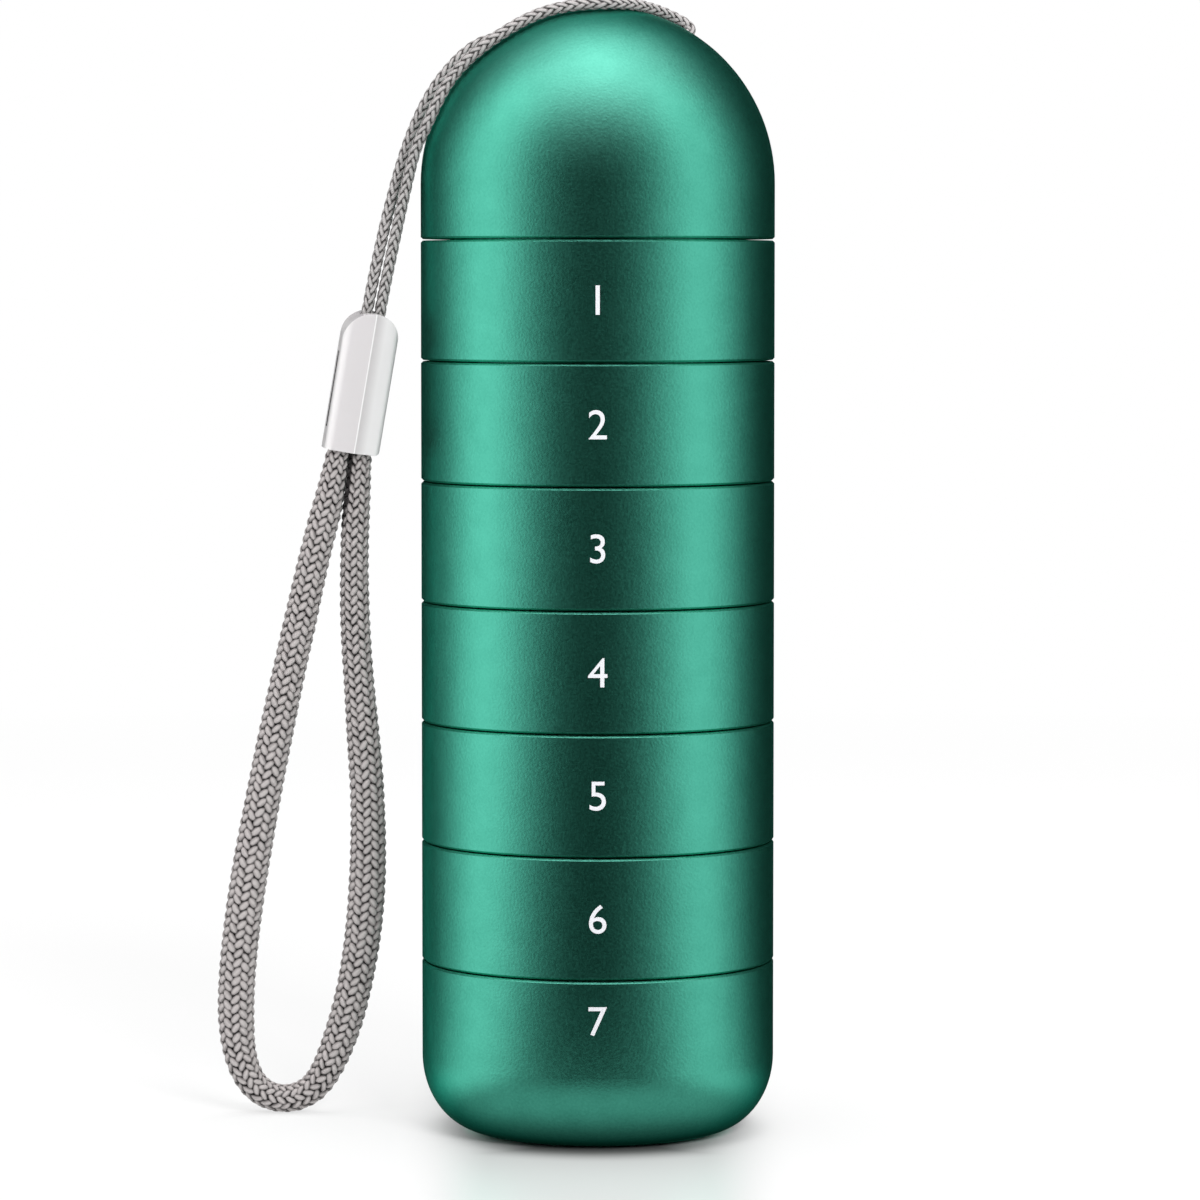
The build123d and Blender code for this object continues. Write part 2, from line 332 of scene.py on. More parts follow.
@dataclass(frozen=True)
class ClipPlastic:
    """Pale milky moulding with a smooth gloss, and painted light and shade on halves, ridge, rims and
    slots.

    Attributes:
        name: The material's name.
        colour: The half beyond the crease, with painted light.
        deep_colour: The half before it, with painted shade.
        crease_colour: Painted highlight along the ridge.
        dusk_colour: Painted shade beside that line.
        rim_colour: Painted light on the rounded rims and the sides.
        slot_colour: Painted shadow inside the side slots.
        foot: Centre of the clip's foot.
        rise: Direction up the clip.
        front_edge: Direction across its front.
        crease: Half width of the crease, full and faded.
        dusk: How far the painted shade reaches before and beyond the crease.
        dusk_share: Its strength before the crease, as a share of that beyond it.
        flow_share: Strength of the flow marks, which have the same colour.
        rim: Distances from the middle between which the rims begin.
        slot: Half height of a slot, full and faded.
        slot_bed: Distances from the middle between which its bed begins.
        slot_start: Heights up the clip between which it begins.
        slot_end: Heights between which it ends.
        roughness: Its least roughness, and what the flow marks add.
        flow_scale: Flow marks to the metre.
        orange_peel_scale: Dimples of the skin to the metre.
        orange_peel_depth: Depth of the dimples.
    """

    name: str = "clip_plastic"
    colour: Colour = (0.93, 0.90, 0.91)
    deep_colour: Colour = (0.68, 0.655, 0.665)
    crease_colour: Colour = (0.95, 0.94, 0.945)
    dusk_colour: Colour = (0.66, 0.63, 0.64)
    rim_colour: Colour = (0.85, 0.83, 0.835)
    slot_colour: Colour = (0.06, 0.06, 0.065)
    foot: Point = (-0.0246, 0.0008, 0.0675)
    rise: Point = (2.4, -1.1, 13.9)
    front_edge: Point = (0.966, 0.259, 0.0)
    crease: Span = (0.00003, 0.00008)
    dusk: Span = (0.0009, 0.0015)
    dusk_share: float = 0.3
    flow_share: float = 0.12
    rim: Span = (0.0020, 0.0026)
    slot: Span = (0.0002, 0.00022)
    slot_bed: Span = (0.0024, 0.002448)
    slot_start: Span = (0.0021, 0.0022)
    slot_end: Span = (0.0097, 0.0098)
    roughness: Span = (0.16, 0.1)
    flow_scale: float = 160.0
    orange_peel_scale: float = 1100.0
    orange_peel_depth: float = 0.000012

    def axes(self) -> tuple[Array, Array, Array]:
        """Directions across, through and up the clip, at right angles to each other."""
        up = unit(np.array(self.rise))
        across = np.array(self.front_edge)
        across = unit(across - (across @ up) * up)
        return across, np.cross(up, across), up

    def tint(self, sheet: NodeSheet, coords: Signal, flow: Signal) -> Signal:
        """Colour of the moulding and its painted light and shade, from the distances across, through and
        up it.

        Args:
            sheet: The material's node tree.
            coords: Object coordinates.
            flow: Noise of the flow marks.

        Returns:
            The colour.
        """
        foot = np.array(self.foot)
        aside, through, high = (sheet.reach(coords, foot, axis) for axis in self.axes())
        before, beyond = self.dusk
        onward = sheet.ramp(aside, -self.crease[0], self.crease[0])
        dusk = onward * sheet.ramp(aside, 0.0, beyond, 1.0, 0.0)
        dusk = dusk + (1.0 - onward) * sheet.ramp(aside, -before, 0.0, 0.0, self.dusk_share)
        out = aside.magnitude()
        crease = sheet.ramp(out, *self.crease, 1.0, 0.0)
        slot = sheet.ramp(through.magnitude(), *self.slot, 1.0, 0.0) * sheet.ramp(out, *self.slot_bed)
        slot = slot * sheet.ramp(high, *self.slot_start) * sheet.ramp(high, *self.slot_end, 1.0, 0.0)
        # Painted light and shade: the half beyond the crease lighter, the half before it darker.
        colour = sheet.blend(onward, self.deep_colour, self.colour)
        # Painted shade beside the crease; the flow marks share its colour.
        colour = sheet.blend(dusk.maximum(flow * self.flow_share), colour, self.dusk_colour)
        # Painted light on the rims and sides.
        colour = sheet.blend(sheet.ramp(out, *self.rim), colour, self.rim_colour)
        # Painted highlight along the ridge.
        colour = sheet.blend(crease, colour, self.crease_colour)
        # Painted shadow inside the side slots.
        return sheet.blend(slot, colour, self.slot_colour)

    def material(self) -> Material:
        """Milky clouds in the colour, and an orange peel under the gloss."""
        material, sheet = new_material(self.name)
        coords = sheet.place()
        flow = sheet.noise(coords, self.flow_scale, detail=3.0)
        peel = sheet.noise(coords, self.orange_peel_scale, detail=1.0)
        least, added = self.roughness
        sheet.skin(
            Base_Color=self.tint(sheet, coords, flow),
            Roughness=least + flow * added,
            IOR=1.5,
            Coat_Weight=0.2,
            Coat_Roughness=0.08,
            Subsurface_Weight=0.25,
            Subsurface_Radius=(1.0, 1.0, 1.0),
            Subsurface_Scale=0.001,
            Normal=sheet.bump(peel, self.orange_peel_depth),
        )
        return material


@dataclass(frozen=True)
class BraidYarn:
    """Multifilament yarn: fine streaks along it, a soft sheen, and painted shade where it dives under
    others.

    It reads the attributes that the braid carries. One holds the metres along the yarn, the place across
    it from -1 to 1 and a shade of its own, and the other how high it rides, from 0 to 1. The tone is a
    smooth step of that height between the limits of `emerging`, plus the streaks' noise and the shade,
    less the square of the place across, each times its own weight.
    """

    name: str
    colour: Colour
    shadow_colour: Colour
    emerging: Span = (0.45, 0.92)
    streaks_along: float = 700.0
    streaks_across: float = 5.0
    streak_shift: float = 40.0
    streak_contrast: float = 0.9
    own_shade: float = 0.15
    edge_dusk: float = 0.95
    roughness: float = 0.4
    roughness_spread: float = 0.2
    filament_depth: float = 0.00004

    def material(self) -> Material:
        """Noise stretched along the yarn gives the filaments, with painted shade low down and at the
        edges.
        """
        material, sheet = new_material(self.name)
        yarn = sheet.attribute(YARN, "Vector")
        ride = sheet.attribute(RIDE, "Fac")
        streaks = sheet.stretched(yarn, (self.streaks_along, self.streaks_across, self.streak_shift))
        filament = sheet.noise(streaks, scale=1.0, detail=3.0)
        across, shade = sheet.component(yarn, "Y"), sheet.component(yarn, "Z")
        # Painted shade: darker where the yarn rides low, in the crevice, and towards its edges.
        tone = sheet.ramp(ride, *self.emerging) + (filament - NOISE_MIDDLE) * self.streak_contrast
        tone = tone + shade * self.own_shade - across * across * self.edge_dusk
        tone = sheet.node("ShaderNodeMapRange", None, {"Value": tone})
        sheet.skin(
            Base_Color=sheet.blend(tone, self.shadow_colour, self.colour),
            Roughness=self.roughness + filament * self.roughness_spread,
            Sheen_Weight=0.15,
            Sheen_Roughness=0.4,
            Normal=sheet.bump(filament, self.filament_depth),
        )
        return material


class Lay(Enum):
    """The two ways in which a braid's yarns wind round it."""

    RIGHT = 1
    LEFT = -1


def add_object(name: str, data: ID) -> Object:
    """Puts a mesh, curve, lamp or camera into the scene."""
    made = bpy.data.objects.new(name, data)
    bpy.context.scene.collection.objects.link(made)
    return made


def mesh_object(name: str, points: Array, faces: Sequence[Sequence[int]]) -> Object:
    """Makes a smooth mesh piece at the origin.

    Args:
        name: The piece's name.
        points: Vertices, one row each.
        faces: Vertex numbers of each face.

    Returns:
        The piece, in the scene.
    """
    mesh = bpy.data.meshes.new(name)
    mesh.from_pydata(points.reshape(-1, 3).tolist(), [], faces)
    mesh.polygons.foreach_set("use_smooth", np.ones(len(mesh.polygons), bool))
    mesh.update()
    return add_object(name, mesh)


def mark(piece: Object, name: str, kind: str, values: Array) -> None:
    """Gives a piece's vertices an attribute: FLOAT holds one number each, and FLOAT_VECTOR three."""
    field = "value" if kind == "FLOAT" else "vector"
    piece.data.attributes.new(name, kind, "POINT").data.foreach_set(field, values.ravel())


def dress(piece: Object, material: Material) -> Object:
    """Gives a piece one material."""
    piece.data.materials.clear()
    piece.data.materials.append(material)
    return piece


def tube_faces(tubes: int, rings: int, sides: int) -> list[list[int]]:
    """Faces of closed tubes whose vertices run tube by tube, ring by ring and round each ring.

    A quad joins each vertex to the next one round and to the next ring, and a flat cap shuts each end.

    Args:
        tubes: How many tubes there are.
        rings: Rings along each tube.
        sides: Vertices round each ring.

    Returns:
        Vertex numbers of each face, pointing outwards.
    """
    index = np.arange(tubes * rings * sides).reshape(tubes, rings, sides)
    onward = np.roll(index, -1, axis=2)
    quads = np.stack([index[:, :-1], onward[:, :-1], onward[:, 1:], index[:, 1:]], axis=-1)
    caps = np.concatenate([index[:, 0, ::-1], index[:, -1]])
    return quads.reshape(-1, 4).tolist() + caps.tolist()


def curve_mesh(curve: Curve) -> Mesh:
    """Turns a passing curve or text into a mesh, and removes it."""
    holder = add_object(curve.name, curve)
    mesh = bpy.data.meshes.new_from_object(holder)
    bpy.data.objects.remove(holder)
    bpy.data.curves.remove(curve)
    return mesh


def mesh_points(mesh: Mesh) -> Array:
    """Vertices of a mesh, one row each."""
    points = np.zeros(len(mesh.vertices) * 3)
    mesh.vertices.foreach_get("co", points)
    return points.reshape(-1, 3)


def smooth_route(name: str, route: Sequence[Sequence[float]]) -> Array:
    """Points read from the NURBS spline that has a cord's route as its control points.

    Args:
        name: Name of the passing curve.
        route: The route's points.

    Returns:
        Points along the spline, one row each.
    """
    curve = bpy.data.curves.new(name, "CURVE")
    curve.dimensions = "3D"
    curve.resolution_u = ROUTE_RESOLUTION
    spline = curve.splines.new("NURBS")
    spline.points.add(len(route) - 1)
    weighted = np.column_stack([np.array(route), np.ones(len(route))])
    spline.points.foreach_set("co", weighted.ravel())
    spline.order_u = 3
    spline.use_endpoint_u = True
    wire = curve_mesh(curve)
    points = mesh_points(wire)
    bpy.data.meshes.remove(wire)
    return points


@dataclass
class BraidedCord:
    """A tubular two-over-two braid along a smooth route.

    Half of its yarns wind to the right and half to the left. A yarn at angle t round the cord rides
    over the others where cos(n t / 2) has its own sign, n being the yarns of one lay, so that the
    floats of each lay stand in columns along the cord. One lay starts half a place round from the
    other, which makes the floats of neighbouring columns interlock.

    Attributes:
        node: CAD node that the braid stands for.
        slot: Material slot of the record; not used.
        route: Control points of the cord's spline.
        diameter: Diameter of the cord; not used.
        widths: Outer widths at even shares of the length, seen from the front.
        depths: Outer depths there, front to back.
        yarns: Yarns of one lay.
        plait: Distance along the cord from one float to the next in its column.
        yarn_width: Width of a yarn where it rides over.
        yarn_thickness: Thickness of a yarn.
        wave: How far a yarn swings out and in from the middle of the braid.
        leafing: Share of its width that a yarn loses where it dives under others.
        step: Distance along the cord between the rings of a yarn.
        sides: Vertices round a yarn.
        own_reach: Distance along the cord within which its rings aren't neighbours.
        crevice_width: Width of the painted shade in the crevice where two stretches run side by side.
        seed: Start of the random draws for the yarns' small differences.
        scatter: Spread of the yarns' places round the cord, in radians.
        fullness: Limits of a yarn's share of its width.
        slimming: Power of the cord's width that its yarns follow.
        core_sides: Vertices round the core.
        core_stride: Rings of the cord to one of the core.
    """

    node: str
    slot: str
    route: Sequence[Sequence[float]]
    diameter: float
    widths: Sequence[float]
    depths: Sequence[float]
    yarns: int
    plait: float
    yarn_width: float
    yarn_thickness: float
    wave: float
    leafing: float
    step: float
    sides: int
    own_reach: float
    crevice_width: float
    seed: int
    scatter: float = 0.035
    fullness: Span = (0.9, 1.06)
    slimming: float = 0.8
    core_sides: int = 16
    core_stride: int = 4

    def __post_init__(self) -> None:
        """Works out the cord's line and the frame that goes along it."""
        fine = smooth_route(self.node + "_route", self.route)
        walked = np.concatenate([[0.0], np.linalg.norm(np.diff(fine, axis=0), axis=1).cumsum()])
        self.length = float(walked[-1])
        self.along = np.linspace(0.0, self.length, int(round(self.length / self.step)) + 1)
        self.line = np.column_stack([np.interp(self.along, walked, fine[:, k]) for k in range(3)])
        tangent = unit(np.gradient(self.line, self.along, axis=0))
        rearwards = np.array([0.0, 1.0, 0.0])
        self.depthwise = unit(rearwards - (tangent @ rearwards)[:, None] * tangent)
        self.sideways = np.cross(tangent, self.depthwise)
        share = self.along / self.length
        self.half_width = self._even(share, self.widths) / 2
        self.half_depth = self._even(share, self.depths) / 2

    @staticmethod
    def _even(share: Array, values: Sequence[float]) -> Array:
        """Values given at even shares of the length, joined by cosine steps without corners."""
        place = share * (len(values) - 1)
        before = np.minimum(place.astype(int), len(values) - 2)
        weight = (1 - np.cos((place - before) * pi)) / 2
        table = np.array(values)
        return table[before] * (1 - weight) + table[before + 1] * weight

    def section(self, angle: Array, inset: float) -> tuple[Array, Array]:
        """Points and outward directions on the cord's oval section.

        The point at angle t lies at a cos(t) sideways and b sin(t) in depth, a and b being the half
        axes less the inset, and its outward direction is cos(t) / a and sin(t) / b.

        Args:
            angle: Angles, rings of the cord along the last axis.
            inset: Distance inside the outer surface.

        Returns:
            Points and unit directions.
        """
        half_width = (self.half_width - inset)[..., None]
        half_depth = (self.half_depth - inset)[..., None]
        across, back = np.cos(angle)[..., None], np.sin(angle)[..., None]
        points = self.line + self.sideways * half_width * across + self.depthwise * half_depth * back
        outward = self.sideways * across / half_width + self.depthwise * back / half_depth
        return points, unit(outward)

    def lay(self, way: Lay, name: str) -> Object:
        """Weaves the yarns of one lay.

        Args:
            way: The way in which they wind.
            name: The piece's name.

        Returns:
            The piece, with the two attributes of the yarns on its vertices.
        """
        draws = np.random.default_rng(self.seed + way.value)
        stagger = 0.5 if way is Lay.LEFT else 0.0
        start = (np.arange(self.yarns) + stagger) * FULL_TURN / self.yarns
        start = start + draws.normal(0.0, self.scatter, self.yarns)
        shade = draws.uniform(0.0, 1.0, self.yarns)
        fullness = draws.uniform(*self.fullness, self.yarns)
        turn = FULL_TURN / (self.yarns * self.plait)
        angle = start[:, None] + way.value * turn * self.along[None, :]
        ride = way.value * np.cos(angle * self.yarns / 2)
        centre, outward = self.section(angle, self.wave + self.yarn_thickness / 2)
        centre = centre + outward * (self.wave * ride)[..., None]
        forward = unit(np.gradient(centre, self.step, axis=1))
        outward = unit(outward - (outward * forward).sum(-1, keepdims=True) * forward)
        side = np.cross(forward, outward)
        bulge = fullness[:, None] * (1 - self.leafing * (1 - ride) / 2)
        slim = (self.half_width / self.half_width.max()) ** self.slimming
        half_yarn = bulge * slim * self.yarn_width / 2
        round_yarn = np.arange(self.sides) * FULL_TURN / self.sides
        across, rise = np.cos(round_yarn), np.sin(round_yarn)
        half_height = np.sqrt(bulge) * self.yarn_thickness / 2
        points = centre[:, :, None] + side[:, :, None] * (half_yarn[..., None] * across)[..., None]
        points = points + outward[:, :, None] * (half_height[..., None] * rise)[..., None]
        piece = mesh_object(name, points, tube_faces(self.yarns, len(self.along), self.sides))
        facts = np.broadcast_arrays(self.along[:, None], across, shade[:, None, None])
        mark(piece, YARN, "FLOAT_VECTOR", np.stack(facts, axis=-1))
        # Painted shade: the ride attribute is lowered in the crevice beside the cord's other stretch.
        mark(piece, RIDE, "FLOAT", (1 + ride[..., None]) / 2 * (1 - self.crevice(points)))
        return piece

    def crevice(self, points: Array) -> Array:
        """How deep points lie in the crevice where the cord runs beside itself, for its painted shade.

        The nearest ring that is well away along the cord is the neighbour. With d the distance from a
        point to that ring's rim and c the crevice's width, the depth is 1 - d / c, kept from 0 to 1.

        Args:
            points: Points by yarn, ring of the cord and place round the yarn.

        Returns:
            Depths, from 0 outside to 1 deep inside.
        """
        gaps = np.linalg.norm(self.line[:, None] - self.line[None], axis=-1)
        gaps[np.abs(self.along[:, None] - self.along[None]) < self.own_reach] = np.inf
        neighbour = gaps.argmin(axis=1)
        centre, rim = self.line[neighbour], self.half_width[neighbour]
        clear = np.linalg.norm(points - centre[None, :, None], axis=-1) - rim[None, :, None]
        return np.clip(1 - clear / self.crevice_width, 0.0, 1.0)

    def core(self, name: str) -> Object:
        """Fills the braid with one dark oval tube, just inside the yarns, as painted shade in their gaps.

        Args:
            name: The piece's name.

        Returns:
            The piece.
        """
        angle = np.arange(self.core_sides)[:, None] * FULL_TURN / self.core_sides
        angle = angle + np.zeros(len(self.along))
        points, _ = self.section(angle, 2 * self.wave + self.yarn_thickness)
        points = np.swapaxes(points, 0, 1)[::self.core_stride]
        return mesh_object(name, points, tube_faces(1, len(points), self.core_sides))

    def build(self, body: str, yarn: Material, filling: Material, on_it: Sequence[Object]) -> None:
        """Args:
            body: Body that it rides on.
            yarn: Material of its yarns.
            filling: Material of its core.
            on_it: CAD pieces that are on the cord; not used.
        """
        first = dress(self.lay(Lay.RIGHT, self.node + "_right_lay"), yarn)
        second = dress(self.lay(Lay.LEFT, self.node + "_left_lay"), yarn)
        core = dress(self.core(self.node + "_core"), filling)
        for piece in (first, second, core):
            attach(piece, body)
            LOG.info("%s: %d faces", piece.name, len(piece.data.polygons))
        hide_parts(self.node)
        LOG.info("%s: %.1f mm long", self.node, self.length * 1000)


STRING_ROUTE = tuple(millimetres(*point) for point in (
    (-22.74, 0.4, 74.68), (-21.57, -0.13, 81.36), (-20.05, -1.35, 88.4), (-18.95, -2.4, 93.2),
    (-17.95, -3.25, 97.25), (-16.9, -4.25, 99.25), (-16.0, -4.75, 101.2), (-15.0, -4.7, 103.2),
    (-13.55, -4.85, 105.15), (-11.55, -5.45, 106.95), (-9.6, -5.75, 108.3), (-7.65, -5.6, 109.5),
    (-5.7, -5.25, 110.42), (-3.75, -5.1, 110.98), (-1.7, -5.05, 111.3), (0.9, -4.85, 111.42),
    (3.6, -2.8, 111.45), (6.0, -0.1, 110.95), (8.0, 1.3, 110.13), (9.05, 1.05, 109.45),
    (9.15, 0.45, 108.75), (8.5, 0.1, 108.22), (7.0, 0.05, 108.15), (4.9, 0.05, 108.15),
    (1.9, 0.1, 108.06), (-1.9, 0.1, 108.05), (-5.6, 0.05, 108.2), (-8.3, 0.0, 108.28),
    (-10.5, 0.2, 108.25), (-12.4, 0.5, 107.45), (-14.35, 0.05, 105.65), (-16.2, -0.3, 103.3),
    (-17.75, -0.5, 100.35), (-18.9, -0.6, 97.4), (-20.1, -0.6, 93.4), (-21.35, -0.45, 88.5),
    (-22.81, -0.48, 81.54), (-23.97, 0.05, 74.86),
))

WRIST_ROUTE = tuple(millimetres(*point) for point in (
    (-24.92, 0.2, 71.58), (-25.75, 0.5, 67.5), (-26.6, 1.1, 63.0), (-28.1, 1.9, 57.6),
    (-29.9, 3.0, 49.8), (-31.75, 3.9, 41.7), (-33.45, 4.8, 33.6), (-35.0, 5.7, 25.6),
    (-36.2, 6.6, 17.8), (-36.75, 7.35, 11.0), (-36.45, 7.9, 6.0), (-35.15, 8.2, 2.85),
    (-33.0, 8.4, 1.42), (-30.35, 8.4, 1.5), (-28.15, 8.25, 3.12), (-26.35, 7.9, 7.0),
    (-24.85, 7.45, 11.9), (-23.7, 6.8, 18.2), (-23.12, 6.0, 25.6), (-23.15, 5.0, 33.4),
    (-23.75, 3.9, 41.6), (-24.3, 3.1, 50.0), (-24.3, 2.4, 57.9), (-23.95, 1.85, 63.5),
    (-23.62, 1.25, 67.8), (-23.0, 0.78, 71.28),
))


@dataclass
class DayMarks:
    """Plain numbers, one to a cup, printed on the front of the stack.

    Attributes:
        cap_height: Height of a numeral.
        ink_thickness: Ink standing on the metal.
        ink_sink: Ink below the metal's surface, so that no gap shows under it.
        base_height: Height of the base cup's number over the foot.
        strips: Strips to the unit of the flat numeral, narrow enough to follow the round cup.
    """

    cap_height: float = 0.0028
    ink_thickness: float = 0.00002
    ink_sink: float = 0.00003
    base_height: float = 0.0131
    strips: int = 12

    def slice(self, mesh: Mesh) -> None:
        """Cuts a flat numeral into upright strips, one unit of it being about its width."""
        sheet = bmesh.new()
        sheet.from_mesh(mesh)
        for place in np.arange(-self.strips, self.strips) / self.strips:
            whole = [*sheet.verts, *sheet.edges, *sheet.faces]
            bmesh.ops.bisect_plane(sheet, geom=whole, plane_co=(place, 0.0, 0.0), plane_no=(1.0, 0.0, 0.0))
        bmesh.ops.recalc_face_normals(sheet, faces=sheet.faces)
        sheet.to_mesh(mesh)
        sheet.free()

    def numeral(self, number: int, radius: float, level: float) -> Object:
        """Bends one numeral round the cup.

        A point x across, y up and z out of the flat numeral goes to the angle x / r round the axis,
        the height y and the radius r + z.

        Args:
            number: The numeral.
            radius: Radius of the cup.
            level: Height of its centre.

        Returns:
            The piece.
        """
        name = f"number_{number}"
        text = bpy.data.curves.new(name, "FONT")
        text.body = str(number)
        text.align_x = "CENTER"
        text.resolution_u = 8
        text.extrude = 0.5
        mesh = curve_mesh(text)
        mesh.name = name
        self.slice(mesh)
        flat = mesh_points(mesh)
        low, high = flat.min(0), flat.max(0)
        middle, span = (low + high) / 2, high - low
        scale = self.cap_height / span[1]
        angle = (flat[:, 0] - middle[0]) * scale / radius
        height = (flat[:, 1] - middle[1]) * scale + level
        through = (flat[:, 2] - low[2]) / span[2]
        reach = radius - self.ink_sink + through * (self.ink_sink + self.ink_thickness)
        bent = np.column_stack([reach * np.sin(angle), -reach * np.cos(angle), height])
        mesh.vertices.foreach_set("co", bent.ravel())
        mesh.update()
        return add_object(name, mesh)

    def build(self, ink: Material) -> None:
        """Prints the numbers, from one under the cap to the base's.

        Args:
            ink: Material of the numbers.
        """
        days = [f"day_{day}" for day in range(1, 7)]
        lows = [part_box(day + "_cup")[0].z for day in days]
        tops = [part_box("dome_cap")[0].z, *lows[:-1]]
        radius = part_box("base_cup")[1].x
        levels = [(low + top) / 2 for low, top in zip(lows, tops)] + [self.base_height]
        for number, (body, level) in enumerate(zip([*days, "base"], levels), start=1):
            piece = dress(self.numeral(number, radius, level), ink)
            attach(piece, body)
            LOG.info("%s on %s", piece.name, body)


@dataclass
class Hardware:
    """The pieces that keep their solids: cups, cap, seals, clip and crimp."""

    nodes: Mapping[str, Object]

    def build(self) -> None:
        """Gives their nodes a finish by slot, and keeps the pale clip out of the metal's mirror."""
        clip = ClipPlastic()
        finishes = {
            finish.name: finish.material() for finish in (AnodisedMetal(), SEAL_RUBBER, clip, CRIMP_STEEL)
        }
        for name, node in self.nodes.items():
            slot = node.data.materials[0].name.split(".")[0]
            if slot in finishes:
                dress(node, finishes[slot])
                node.visible_glossy = slot != clip.name
                LOG.info("%s takes %s", name, slot)


@dataclass(frozen=True)
class Glow:
    """One soft light of the reflection tent.

    Attributes:
        middle: Its middle, in degrees round from the camera's side, or over the horizon if overhead.
        spread: Angle from there at which it has faded to three fifths, in degrees.
        strength: Its brightness, with the white background as one.
    """

    middle: float
    spread: float
    strength: float

    def brightness(self, angle: Array) -> Array:
        """A bell curve of the angle from the light's middle, in degrees."""
        return self.strength * np.exp(-(angle / self.spread) ** 2 / 2)


@dataclass
class ReflectionTent:
    """A dome over the object that only reflections see, with soft lights on a dark cloth.

    The metal shows what stands round it. The tent is dark before and behind the object, has an upright
    soft light on each side and one overhead, and runs over the floor up to the object's foot.

    Attributes:
        radius: Radius of the dome.
        inner_radius: Where its floor starts.
        lift: Height of its floor over the real one.
        dark: Colour of the cloth.
        foot_light: Brightness of the floor next to the object.
        foot_rise: Radii between which the floor comes out of the object's shadow.
        foot_fall: Radii between which that brightness ends.
        foot_span: Angles from the front between which it ends, in degrees.
        side_rise: Radii between which the side lights begin on the floor.
        side_fill: Radii between which they come from their low strength to the full one.
        side_low: That low strength, as a share of the full one.
        side_top: Elevations between which the side lights end, in degrees.
        sides: The upright lights.
        overhead: The light over the object.
        overhead_tint: Its colour.
        bounce: Share of the tent that counts for light reflected on to matt things.
    """

    radius: float = 2.0
    inner_radius: float = 0.0105
    lift: float = 0.0004
    dark: Colour = (0.004, 0.014, 0.012)
    foot_light: float = 0.48
    foot_rise: Span = (0.0130, 0.0205)
    foot_fall: Span = (0.023, 0.062)
    foot_span: Span = (40.0, 105.0)
    side_rise: Span = (0.012, 0.034)
    side_fill: Span = (0.11, 0.32)
    side_low: float = 0.8
    side_top: Span = (42.0, 75.0)
    sides: tuple[Glow, ...] = (Glow(-77.0, 21.0, 1.42), Glow(68.0, 20.0, 1.22))
    overhead: Glow = Glow(83.0, 23.0, 2.25)
    overhead_tint: Colour = (1.35, 1.0, 1.05)
    bounce: float = 0.35

    @staticmethod
    def ease(value: Array, limits: Span) -> Array:
        """Runs smoothly from nought at the first limit to one at the second."""
        share = np.clip((value - limits[0]) / (limits[1] - limits[0]), 0.0, 1.0)
        return share * share * (3 - 2 * share)

    def side_light(self, azimuth: Array) -> Array:
        """Brightness of the upright lights together, by the angle round the object."""
        return sum(glow.brightness((azimuth - glow.middle + 180.0) % 360.0 - 180.0) for glow in self.sides)

    def overhead_light(self, azimuth: Array, elevation: Array) -> Array:
        """Brightness of the light overhead, by the angle from its middle on the dome."""
        turn, rise, middle = np.radians(azimuth), np.radians(elevation), radians(self.overhead.middle)
        level = np.sin(rise) * np.sin(middle) + np.cos(rise) * np.cos(middle) * np.cos(turn)
        return self.overhead.brightness(np.degrees(np.arccos(np.clip(level, -1.0, 1.0))))

    def build(self) -> None:
        """Makes the tent as one sheet: out over the floor, and then up the dome to its top."""
        columns, floor_rows, dome_rows = 145, 40, 40
        azimuth = np.linspace(-180.0, 180.0, columns)[:, None]
        floor_radius = np.geomspace(self.inner_radius, self.radius, floor_rows)
        elevation = np.linspace(0.0, 90.0, dome_rows)
        around, rise = np.radians(azimuth), np.radians(elevation)
        reach = np.concatenate([floor_radius, self.radius * np.cos(rise)])
        level = np.concatenate([np.zeros(floor_rows), self.radius * np.sin(rise)])
        points = np.stack(np.broadcast_arrays(
            np.sin(around) * reach, -np.cos(around) * reach, level + self.lift), axis=-1)
        upright = self.side_light(azimuth)
        foot = self.ease(floor_radius, self.foot_rise) * (1 - self.ease(floor_radius, self.foot_fall))
        foot = foot * (1 - self.ease(np.abs(azimuth), self.foot_span))
        low_sides = self.side_low + (1 - self.side_low) * self.ease(floor_radius, self.side_fill)
        low_sides = upright * low_sides * self.ease(floor_radius, self.side_rise)
        floor_glow = np.maximum(low_sides, self.foot_light * foot)
        dome_glow = upright * (1 - self.ease(elevation, self.side_top))
        overhead = np.pad(self.overhead_light(azimuth, elevation), ((0, 0), (floor_rows, 0)))
        glow = np.concatenate([floor_glow, dome_glow], axis=1)[..., None] + np.array(self.dark)
        glow = glow + overhead[..., None] * np.array(self.overhead_tint)
        index = np.arange(glow[..., 0].size).reshape(glow.shape[:2])
        quads = np.stack([index[:-1, :-1], index[:-1, 1:], index[1:, 1:], index[1:, :-1]], axis=-1)
        tent = mesh_object("reflection_tent", points, quads.reshape(-1, 4).tolist())
        mark(tent, GLOW, "FLOAT_VECTOR", glow)
        dress(tent, self.cloth())
        tent.visible_camera = False
        tent.visible_diffuse = False
        tent.visible_transmission = False
        tent.visible_shadow = False

    def cloth(self) -> Material:
        """Shines on the inside by the tent's attribute, and is clear from outside."""
        material, sheet = new_material("tent_cloth")
        glow = sheet.attribute(GLOW, "Vector")
        light = sheet.node("ShaderNodeEmission", None, {"Color": glow, "Strength": 1.0})
        dimmed = sheet.node("ShaderNodeEmission", None, {"Color": glow, "Strength": self.bounce})
        bounces = sheet.node("ShaderNodeLightPath", output="Diffuse Depth")
        light = sheet.node("ShaderNodeMixShader", None, {0: bounces, 1: light, 2: dimmed})
        outside = sheet.node("ShaderNodeNewGeometry", output="Backfacing")
        clear = sheet.node("ShaderNodeBsdfTransparent")
        sheet.surface(sheet.node("ShaderNodeMixShader", None, {0: outside, 1: light, 2: clear}))
        return material


